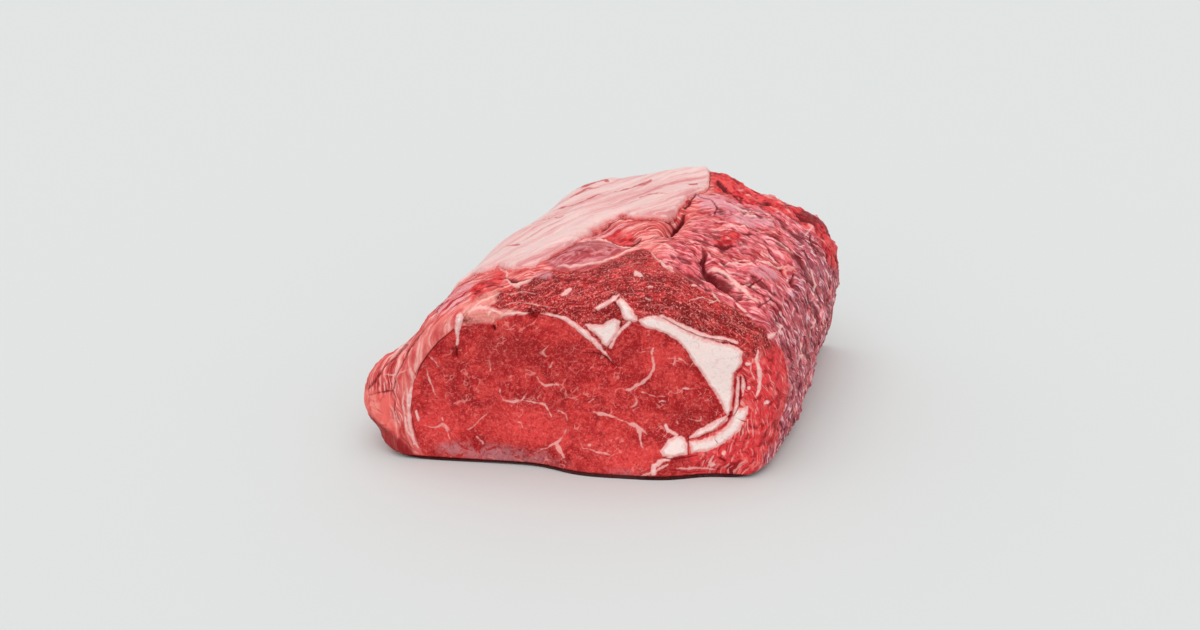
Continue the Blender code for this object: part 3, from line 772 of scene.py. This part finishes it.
def slow_waves(points):
    """Sum of sine waves in random directions over the root of half their number, so about 1 high."""
    random = np.random.default_rng(7)
    direction = random.normal(size=(WAVES, 3))
    direction /= np.linalg.norm(direction, axis=1, keepdims=True)
    length = random.uniform(*WAVE_LENGTHS, WAVES)
    phase = random.uniform(0, 2 * math.pi, WAVES)
    return np.sin(points @ (2 * math.pi / length * direction.T) + phase).sum(1) / math.sqrt(WAVES / 2)


def to_line(points, line):
    """Distance of each point from a line of joined stretches."""
    line = np.array(line, float)
    nearest = np.full(len(points), np.inf)
    for start, end in zip(line[:-1], line[1:]):
        run = end - start
        share = np.clip((points - start) @ run / (run @ run), 0, 1)
        nearest = np.minimum(nearest, np.linalg.norm(points - start - share[:, None] * run, axis=1))
    return nearest


def crests(points, layers):
    """Sum of ridges over layers of height, size and turn."""
    return sum(height * ridges(points, size, turn) for height, size, turn in layers)


# Layers of noise in edges and grain: height, size in millimetres and turn
RAGGED = [(0.5, 2.6, 1), (0.35, 1.2, 2)]  # edges of fat, strands and grooves
STROKE_WANDER = ([(0.6, 5, 3), (0.25, 1.7, 20)], [(0.6, 5, 4), (0.25, 1.7, 21)])
CUT_GRAIN = [(0.22, 5, 10), (0.16, 2.2, 11), (0.12, 1.1, 12)]
CAP_GRAIN = [(0.35, 1.5, 18), (0.25, 0.9, 19)]
SKIN_FOLDS = [(0.9, 13, 13), (0.8, 6, 14)]
SKIN_THREADS = [(0.8, 3.6, 15), (0.6, 1.8, 24)]
SHEET_CREASES = [(0.9, 9, 16), (0.35, 4, 17)]

# Relief in millimetres
FAT_HEIGHT = 0.7
VEIN_HEIGHT = 0.12
STRAND_HEIGHT = 0.8
CRACK_DEPTH = 0.9
GROOVE_DEPTH = 2.0
ROLL_HEIGHT = 1.8
LILAC_HEIGHT = 0.6
SIDE_TUCK = 6.0  # how far the right side runs in towards the floor
# The dark line at the foot is partly real shade under this tuck, and partly painted as contact shadow in the
# last layer of colour
FOOT_TUCK = 1.8  # how far every side draws in just above the floor, where a dark line shows


def read_flesh(points, normal):
    """Height of the relief and every mark at each point, with the run of the fibres. The relief is the
    slow waves less the clefts plus the rolls, the sheet and the fine detail, faded out at the floor."""
    x, y, z = points.T
    facing = fade(-normal[:, 1], 0.12, 0.35) * (1 - fade(y, 40, 60))
    at_back = fade(normal[:, 1], 0.45, 0.7) * fade(y, 165, 172)
    wander = np.column_stack([bumps(points, layers) for layers in STROKE_WANDER])
    ragged = bumps(points, RAGGED)
    marks = read_cut(points, facing, at_back, wander, ragged)
    marks.update(read_skin(points, normal, at_back, wander, ragged))

    # Where each kind of surface lies, from 0 to 1
    on_sheet = fade(marks["sheet"], -0.5, 0.5)
    on_cut = fade(marks["cut"], -1, 1)
    on_eye = fade(marks.pop("eye"), -0.6, 0.6)
    on_fat = fade(marks["fat"], -0.2, 0.8)
    on_roll = fade(marks["roll"], -1.5, 1.5)
    on_rim = fade(marks["rim"], -1, 1)
    on_lobe = fade(marks["lobe"], -2, 3)
    lean = on_cut * (1 - on_eye) * (1 - on_fat)
    cap = lean * (1 - on_rim) * fade(z, 60, 74) * (1 - fade(y, 100, 120))
    strip = lean * facing * fade(x, 30, 60) * (1 - cap)
    skin = (1 - on_cut) * (1 - on_sheet) * (1 - on_rim) * (1 - 0.9 * on_lobe)
    right = fade(x - DRIFT * y, 0, 35)

    # Patterns stretched along the fibres, more for threads than for folds
    across, along = fibre_run(points, on_sheet)
    fibre = np.column_stack([across, along, 0.3 * (z + x)])
    loose = fibre * (1, 0.40, 1)
    tight = fibre * (1, 0.22, 1)
    detail = bumps(points, CUT_GRAIN) * (1 - 0.6 * on_fat) * (1 - 0.7 * on_roll)
    detail += cap * (bumps(points, CAP_GRAIN) + 0.5 * noise(tight, 4, 25))
    threads = crests(loose, SKIN_FOLDS) + crests(tight, SKIN_THREADS) + 0.5 * noise(points, 2.2, 27)
    detail += skin * (1 - 0.85 * on_roll) * (0.45 + 0.55 * right) * (threads - 1.7)
    detail += on_sheet * 0.6 * (crests(tight, SHEET_CREASES) - 0.6)
    detail += strip * (0.5 * noise(points, 4, 31) + 0.5 * ridges(points, 3, 32))
    torn = fade(marks["bright"], -1, 2) * skin
    detail += torn * (noise(points, 3.4, 26) + 2.0 * right * noise(points, 8, 28))
    detail += FAT_HEIGHT * fade(marks["fat"], -0.1, 1.2)
    detail += VEIN_HEIGHT * fade(marks["vein"], -0.1, 0.5)
    detail += STRAND_HEIGHT * fade(marks["strand"], -0.2, 0.9)
    detail -= CRACK_DEPTH * fade(marks["crack"], -0.3, 0.5)
    detail -= GROOVE_DEPTH * fade(marks["groove"], -0.5, 1.2)

    height = UNEVENNESS * slow_waves(points) + SHEET_THICKNESS * fade(marks["sheet"], -0.8, 1.6)
    for line, width, depth in CLEFTS:
        height -= depth * np.exp(-((to_line(points, line) / width) ** 2))
    for middle, radius, rise in ROLLS:
        height += rise * np.exp(-((np.linalg.norm(points - middle, axis=1) / radius) ** 2))
    height += detail + ROLL_HEIGHT * fade(marks["roll"], -0.5, 6)
    height += LILAC_HEIGHT * fade(marks["lilac"], -0.5, 4)
    height *= fade(z, 1, 12)
    low = np.exp(-(((z - 12) / 22) ** 2))
    height -= SIDE_TUCK * low * fade(normal[:, 0], 0.2, 0.7) * fade(y, 50, 120)
    height -= FOOT_TUCK * (1 - fade(z, 0.4, 2.8)) * fade(normal[:, 2], -0.85, -0.4)
    marks.update({
        "cap": cap, "strip": strip, "right": right, "foot": z, "across": across, "along": along,
        "relief": detail,
    })
    return height, marks


def store(mesh, name, values):
    """Writes one number per point as an attribute that materials read by name."""
    mesh.attributes.new(name, "FLOAT", "POINT").data.foreach_set("value", values.astype(np.float32))


CONE_DEPTH = 40  # how far behind its ring the point of a cone stands, well inside the flesh


def flesh_piece(name, stations, across, upright, caps, sink):
    """One closed stretch of the roast. Its points are the smooth skin's plus normal times relief, less
    the sink given for each ring. Each end has a flat face or a cone to a point inside the flesh. The
    points are kept inside the box of the solid."""
    rings = skin_rings(stations, across, upright)
    count, around = rings.shape[:2]
    number = np.arange(count * around).reshape(count, around)
    points = [rings.reshape(-1, 3)]
    faces = [grid_faces(np.column_stack([number, number[:, :1]]))[:, ::-1]]
    sunk = [np.repeat(sink, around)]
    total = count * around
    for ring, kind in zip((0, count - 1), caps):
        if kind == "face":
            inner = face_patch(rings[ring], across, upright)[1:-1, 1:-1].reshape(-1, 3)
            patch = grid_faces(patch_numbers(ring * around, total, across, upright))
            faces.append(patch if ring == 0 else patch[:, ::-1])
            points.append(inner)
            sunk.append(np.zeros(len(inner)))
            total += len(inner)
    points = drift_and_sag(np.concatenate(points))
    faces = np.concatenate(faces)
    normal = vertex_normals(points, faces)
    height, marks = read_flesh(points, normal)
    points = points + normal * (height - np.concatenate(sunk))[:, None]
    points = np.clip(points, *(PER_METRE * np.array(cad_box) + FOOTPRINT_MIDDLE))
    triangles = []
    for ring, kind in zip((0, count - 1), caps):
        if kind == "cone":
            rim = number[ring]
            apex = points[rim].mean(0) + (0, CONE_DEPTH, 0)
            fan = np.column_stack((np.full(around, len(points)), rim, np.roll(rim, -1)))
            triangles.append(fan if ring == 0 else fan[:, ::-1])
            points = np.vstack([points, apex])
            marks = {key: np.append(values, 0) for key, values in marks.items()}
    mesh = bpy.data.meshes.new(name)
    every = faces.tolist() + [row for fan in triangles for row in fan.tolist()]
    mesh.from_pydata(((points - FOOTPRINT_MIDDLE) / PER_METRE).tolist(), [], every)
    for key, values in marks.items():
        store(mesh, key, values)
    mesh.shade_smooth()
    piece = bpy.data.objects.new(name, mesh)
    bpy.context.collection.objects.link(piece)
    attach(piece, "root")
    return piece


def colour(code):
    """Linear RGBA from an sRGB hex code: c/12.92 below 0.04045, else ((c + 0.055)/1.055)^2.4."""
    parts = [int(code[k : k + 2], 16) / 255 for k in (0, 2, 4)]
    return (*[c / 12.92 if c <= 0.04045 else ((c + 0.055) / 1.055) ** 2.4 for c in parts], 1.0)


def add(tree, kind, inputs=(), out=None, **settings):
    """Adds one node with its settings, its values and links, and returns the output asked for."""
    node = tree.nodes.new(kind)
    for key, value in settings.items():
        setattr(node, key, value)
    for key, value in dict(inputs).items():
        socket = next(s for s in node.inputs if key in (s.identifier, s.name))
        if isinstance(value, bpy.types.NodeSocket):
            tree.links.new(value, socket)
        else:
            socket.default_value = value
    return next(s for s in node.outputs if out is None or out in (s.identifier, s.name))


# Raw beef, wet and freshly cut: mottled dark and bright reds with a fine pink grain on the cut faces,
# and lilac, pink and purple threads where the skin of the muscle is whole. Fat runs through it in
# cream bands and veins, and lies over the upper left in a pale sheet.
beef = bpy.data.materials.new("raw_beef_marbled")
beef.use_nodes = True
tree = beef.node_tree
shader = tree.nodes["Principled BSDF"]
place = add(tree, "ShaderNodeTexCoord", out="Object")
field = {}

# Noise patterns by size in millimetres: mottling of the muscle, bundles of its fibres, the grain of
# the cut fibres, and the finest specks
for name, size, detail in (("mottle", 13, 4), ("clump", 5.5, 3), ("grain", 1.7, 4), ("speck", 0.9, 3)):
    settings = {"Vector": place, "Scale": PER_METRE / size, "Detail": detail, "Distortion": 0.8}
    field[name] = add(tree, "ShaderNodeTexNoise", settings, "Fac")

# Streaks along the fibres by width in millimetres, each about five times as long as it is wide. Real
# fibres are finer than the narrowest of these, which are as coarse as they need to be to show.
across = add(tree, "ShaderNodeAttribute", out="Fac", attribute_name="across")
along = add(tree, "ShaderNodeAttribute", out="Fac", attribute_name="along")
along = add(tree, "ShaderNodeMath", {"Value": along, "Value_001": 0.18}, operation="MULTIPLY")
thread = add(tree, "ShaderNodeCombineXYZ", {"X": across, "Y": along})
for name, size, detail in (("band", 11, 2), ("streak", 3.4, 4), ("hair", 1.4, 3)):
    settings = {"Vector": thread, "Scale": 1 / size, "Detail": detail, "Distortion": 0.5}
    field[name] = add(tree, "ShaderNodeTexNoise", settings, "Fac")

# Each layer of colour: its code, how strongly it covers, and where. A place is a pattern, or a mark
# stored on the mesh, with its values where the layer is gone and where it is full.
MUSCLE = "b01a1e"
SKIN = ("cut", 0.6, -1.2)
CAP = ("cap", 0.2, 0.9)
STRIP = ("strip", 0.2, 0.9)
RIGHT = ("right", 0.2, 0.9)
PURPLE = ("purple", -3, 3)
BRIGHT = ("bright", -1.5, 1.5)
LAYERS = [
    # Muscle, with dark, warm and plum patches, fine grain and squiggles of fat
    ("d03836", 0.80, [("mottle", 0.46, 0.62)]),
    ("900e14", 0.55, [("mottle", 0.50, 0.36)]),
    ("d84844", 0.45, [("clump", 0.50, 0.62)]),
    ("960e16", 0.40, [("clump", 0.48, 0.38)]),
    ("8a0c10", 0.60, [("dark", 0.1, 0.9)]),
    ("e84644", 0.70, [("warm", 0.1, 0.9)]),
    ("b4747a", 0.90, [("plum", 0.1, 0.8), ("clump", 0.34, 0.52)]),
    ("e86460", 0.45, [("grain", 0.52, 0.66)]),
    ("90080f", 0.50, [("grain", 0.47, 0.34)]),
    # Pale specks: the grain's own flecks, with painted glints of the wet grain
    ("ee948e", 0.26, [("speck", 0.55, 0.66)]),
    ("ee8e88", 0.60, [("squiggle", -0.12, 0.10)]),
    # The cap over the eye, darker and coarser
    ("aa2226", 0.75, [CAP]),
    ("7c080c", 0.90, [CAP, ("mottle", 0.58, 0.44)]),
    ("d23636", 0.70, [CAP, ("clump", 0.50, 0.60)]),
    ("840a10", 0.70, [CAP, ("streak", 0.47, 0.36)]),
    ("e4706c", 0.35, [CAP, ("streak", 0.55, 0.66)]),
    ("72060c", 0.75, [CAP, ("hair", 0.48, 0.37)]),
    ("e87672", 0.50, [CAP, ("hair", 0.55, 0.66)]),
    # Pale specks on the cap: its own flecks, with painted glints of the wet grain
    ("f6a49c", 0.50, [CAP, ("speck", 0.55, 0.65)]),
    ("72060c", 0.60, [CAP, ("speck", 0.47, 0.36)]),
    # The strip of flesh right of the eye
    ("e03c42", 0.75, [STRIP]),
    ("8c0a14", 0.75, [STRIP, ("clump", 0.48, 0.36)]),
    ("ee7e78", 0.60, [STRIP, ("clump", 0.54, 0.66)]),
    ("f4aaa4", 0.60, [STRIP, ("hair", 0.56, 0.66)]),
    ("7c0610", 0.60, [STRIP, ("hair", 0.44, 0.34)]),
    # The skin, in pale and dark threads, with more purple on the right side
    ("da5e5a", 1.00, [SKIN]),
    ("f4a49e", 0.80, [SKIN, ("streak", 0.49, 0.62)]),
    ("a81e24", 0.80, [SKIN, ("streak", 0.48, 0.37)]),
    ("84121a", 0.65, [SKIN, ("hair", 0.45, 0.35)]),
    ("fbc6c2", 0.65, [SKIN, ("hair", 0.56, 0.67)]),
    ("e06a74", 0.80, [SKIN, RIGHT, ("mottle", 0.36, 0.52)]),
    ("b02c38", 0.70, [SKIN, RIGHT, ("clump", 0.48, 0.36)]),
    ("961e2a", 0.75, [SKIN, RIGHT, ("hair", 0.49, 0.37)]),
    ("fab0b4", 0.75, [SKIN, RIGHT, ("hair", 0.53, 0.64)]),
    ("9c4c5a", 0.75, [SKIN, PURPLE, ("streak", 0.62, 0.40)]),
    ("eec0c8", 0.85, [SKIN, PURPLE, ("hair", 0.54, 0.65)]),
    ("561a24", 0.80, [SKIN, PURPLE, ("hair", 0.47, 0.36)]),
    # Bare flesh, the lobe, and painted shade under the lobe
    ("cc2028", 0.88, [SKIN, BRIGHT]),
    ("ea5a58", 0.70, [SKIN, BRIGHT, ("clump", 0.46, 0.60)]),
    ("8c0a10", 0.65, [SKIN, BRIGHT, ("clump", 0.46, 0.36)]),
    ("ee6a62", 0.95, [SKIN, ("lobe", -3.0, 3.5)]),
    ("f8a296", 0.60, [SKIN, ("lobe", -2.0, 3.0), ("mottle", 0.48, 0.62)]),
    ("c83a3c", 0.60, [SKIN, ("lobe", -2.0, 3.0), ("clump", 0.48, 0.36)]),
    # Painted shade under the lobe
    ("8a1218", 0.85, [("lobe_underside_shade", -2.0, 1.5)]),
    # The roll, lilac membrane, pink fat, and the rim left of the eye
    ("a83c44", 0.95, [("roll", -1.2, 1.2)]),
    ("da868e", 0.65, [("roll", -0.5, 2.0), ("streak", 0.50, 0.62)]),
    ("8c2430", 0.65, [("roll", -0.5, 2.0), ("streak", 0.46, 0.34)]),
    ("eaa0a0", 0.40, [("roll", -0.5, 2.0), ("clump", 0.50, 0.62)]),
    ("d898a2", 0.70, [("lilac", -1.0, 2.0), ("streak", 0.38, 0.56)]),
    ("f0988e", 0.80, [("pink", -1.0, 1.5), ("mottle", 0.26, 0.44)]),
    ("f6cabe", 0.60, [("pink", -1.5, 2.0), ("streak", 0.52, 0.64)]),
    ("de6e69", 0.95, [("rim", -0.8, 0.8)]),
    ("f4bab2", 0.70, [("rim", -0.2, 1.4), ("streak", 0.46, 0.60)]),
    ("c03c40", 0.70, [("rim", -0.6, 0.6), ("streak", 0.46, 0.34)]),
    # The sheet of fat, with broad and narrow streaks and thin red lines
    ("dca3a1", 1.00, [("sheet", -0.6, 0.8)]),
    ("e4c6c1", 0.75, [("sheet", -0.3, 1.2), ("band", 0.45, 0.59)]),
    ("cc787a", 0.70, [("sheet", -0.3, 1.2), ("band", 0.44, 0.30)]),
    ("e8c8c4", 0.60, [("sheet", -0.3, 1.2), ("streak", 0.46, 0.60)]),
    ("c8686e", 0.60, [("sheet", 0.0, 1.2), ("streak", 0.43, 0.32)]),
    ("d88a8c", 0.40, [("sheet", 0.0, 1.2), ("hair", 0.43, 0.32)]),
    ("b83036", 0.85, [("red", -0.3, 0.3)]),
    # Veins, strands and seams of fat
    ("f0aea8", 0.75, [("vein", -0.35, 0.3)]),
    ("f2c0b8", 0.80, [("strand", -0.35, 0.45)]),
    ("ecb0ac", 1.00, [("fat", -0.5, 0.3)]),
    ("f3e1dc", 0.95, [("fat", 0.5, 2.2)]),
    ("dc9a98", 0.30, [("fat", -0.2, 0.4), ("grain", 0.46, 0.34)]),
    ("f8dcd6", 0.50, [("fat", 0.0, 0.5), ("grain", 0.50, 0.62)]),
    # Painted shade in grooves, cracks and hollows, a painted highlight on high threads, and the dark line at
    # the foot painted as contact shadow
    # Painted shade in the grooves and under the sheet's edge
    ("7c0c14", 0.85, [("groove", -0.5, 0.3)]),
    ("3c0206", 0.80, [("groove", 0.2, 1.0)]),
    # Painted shade in the cracks
    ("860c18", 0.85, [("crack", -0.1, 0.35)]),
    # Painted shade in the hollows of the relief
    ("701018", 0.85, [("relief", -0.6, -1.5)]),
    # Painted highlight on the high threads of the skin
    ("fcccc8", 0.35, [SKIN, ("relief", 0.5, 1.3)]),
    # Painted contact shadow: a near-black line along the foot, just above the floor
    ("2c0305", 0.95, [("foot", 2.3, 1.3)]),
]
skin_colour = colour(MUSCLE)
for code, cover, where in LAYERS:
    factor = cover
    for name, none, full in where:
        if name not in field:
            field[name] = add(tree, "ShaderNodeAttribute", out="Fac", attribute_name=name)
        span = {"Value": field[name], "From Min": none, "From Max": full}
        mask = add(tree, "ShaderNodeMapRange", span, "Result", interpolation_type="SMOOTHSTEP")
        factor = add(tree, "ShaderNodeMath", {"Value": factor, "Value_001": mask}, operation="MULTIPLY")
    layer = {"Factor_Float": factor, "A_Color": skin_colour, "B_Color": colour(code)}
    skin_colour = add(tree, "ShaderNodeMix", layer, "Result_Color", data_type="RGBA")
tree.links.new(skin_colour, shader.inputs["Base Color"])

# Wet flesh is uneven in its shine. The sheen is weak, since broad lamps would veil the reds with white.
# Light sinks up to two millimetres into it, the red furthest.
wet = {"Value": field["grain"], "From Min": 0.35, "From Max": 0.7, "To Min": 0.28, "To Max": 0.5}
tree.links.new(add(tree, "ShaderNodeMapRange", wet, "Result"), shader.inputs["Roughness"])
pits = {"Value": field["grain"], "Value_001": field["speck"]}
height = add(tree, "ShaderNodeMath", pits, operation="ADD")
bump = add(tree, "ShaderNodeBump", {"Strength": 0.6, "Distance": 0.0007, "Height": height})
tree.links.new(bump, shader.inputs["Normal"])
shader.inputs["Subsurface Weight"].default_value = 0.15
shader.inputs["Subsurface Radius"].default_value = (1.0, 0.28, 0.18)
shader.inputs["Subsurface Scale"].default_value = 0.002
shader.inputs["Specular IOR Level"].default_value = 0.13
shader.inputs["Coat Weight"].default_value = 0.02
shader.inputs["Coat Roughness"].default_value = 0.12

# The cut end, then three lengths of the flesh behind it, the last with the back cut. Where two
# overlap, the one behind sinks into the one in front.
SINK = 0.35
stations = np.linspace(0, 0.16, 9)
sink = np.linspace(0, SINK, 9) * (stations > 0.04)
cut_end = flesh_piece("cut_end", stations, 400, 200, ("face", "cone"), sink)
stations = np.concatenate([np.linspace(0.05, 1, 62), np.linspace(1, 1.14, 32)[1:]])
sink = SINK * (1 - fade(stations, 0.05, 0.14)) + SINK * fade(stations, 1.10, 1.14)
shoulder = flesh_piece("shoulder", stations, 340, 160, ("cone", "cone"), sink)
stations = np.linspace(1.09, 1.56, 100)
sink = SINK * (1 - fade(stations, 1.09, 1.13)) + SINK * fade(stations, 1.53, 1.56)
middle = flesh_piece("middle", stations, 280, 140, ("cone", "cone"), sink)
stations = np.concatenate([np.linspace(1.52, 2, 74), np.linspace(2, 3, 9)[1:]])
sink = SINK * (1 - fade(stations, 1.52, 1.55))
back_end = flesh_piece("back_end", stations, 250, 120, ("cone", "face"), sink)
for piece in (cut_end, shoulder, middle, back_end):
    piece.data.materials.append(beef)
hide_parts("rib_roast")

# The floor. A plain pale slab that the roast lies on. It is matt, so it shows soft shadows and no
# reflections, and so wide that its edge never shows.
FLOOR_SIZE = 40.0  # metres
bpy.ops.mesh.primitive_plane_add(size=FLOOR_SIZE)
floor = bpy.context.object
floor.name = "floor"
slab = bpy.data.materials.new("pale_floor")
slab.use_nodes = True
matt = slab.node_tree.nodes["Principled BSDF"]
matt.inputs["Base Color"].default_value = colour("cacdcc")
matt.inputs["Roughness"].default_value = 0.9
floor.data.materials.append(slab)

# Two wide soft lights, one from above and one from the front, and even light all round. Each lamp has
# the direction that it shines from, its spread in degrees and its strength.
LAMPS = [
    ("skylight", (-0.03, -0.1, 1.0), 70, 1.18),
    ("window", (0.1, -1.0, 0.5), 80, 0.86),
]
for name, spot, spread, strength in LAMPS:
    lamp = bpy.data.lights.new(name, "SUN")
    lamp.angle = math.radians(spread)
    lamp.energy = strength
    holder = bpy.data.objects.new(name, lamp)
    holder.rotation_euler = (-Vector(spot)).to_track_quat("-Z", "Y").to_euler()
    bpy.context.collection.objects.link(holder)
world = bpy.data.worlds.new("studio")
world.use_nodes = True
walls = world.node_tree.nodes["Background"]
walls.inputs["Color"].default_value = colour("f8f8f8")
walls.inputs["Strength"].default_value = 0.81
bpy.context.scene.world = world

# The camera. It stands where the photograph was taken from, as solved from the front cut face and the
# line where the meat meets the slab, and looks square to the sight plane.
EYE_POINT = Vector((77.9, -634.4, 344.4))  # millimetres, in the loft's frame
LENS = 42
SENSOR = 36
camera = bpy.data.cameras.new("camera")
camera.lens = LENS
camera.sensor_width = SENSOR
viewer = bpy.data.objects.new("camera", camera)
right, up = (Vector(direction) for direction in SIGHT_PLANE.T)
turn = Matrix((right, up, right.cross(up))).transposed()
stand = (EYE_POINT - Vector(FOOTPRINT_MIDDLE)) / PER_METRE
viewer.matrix_world = Matrix.Translation(stand) @ turn.to_4x4()
bpy.context.collection.objects.link(viewer)
bpy.context.scene.camera = viewer
bpy.context.scene.view_settings.view_transform = "Standard"
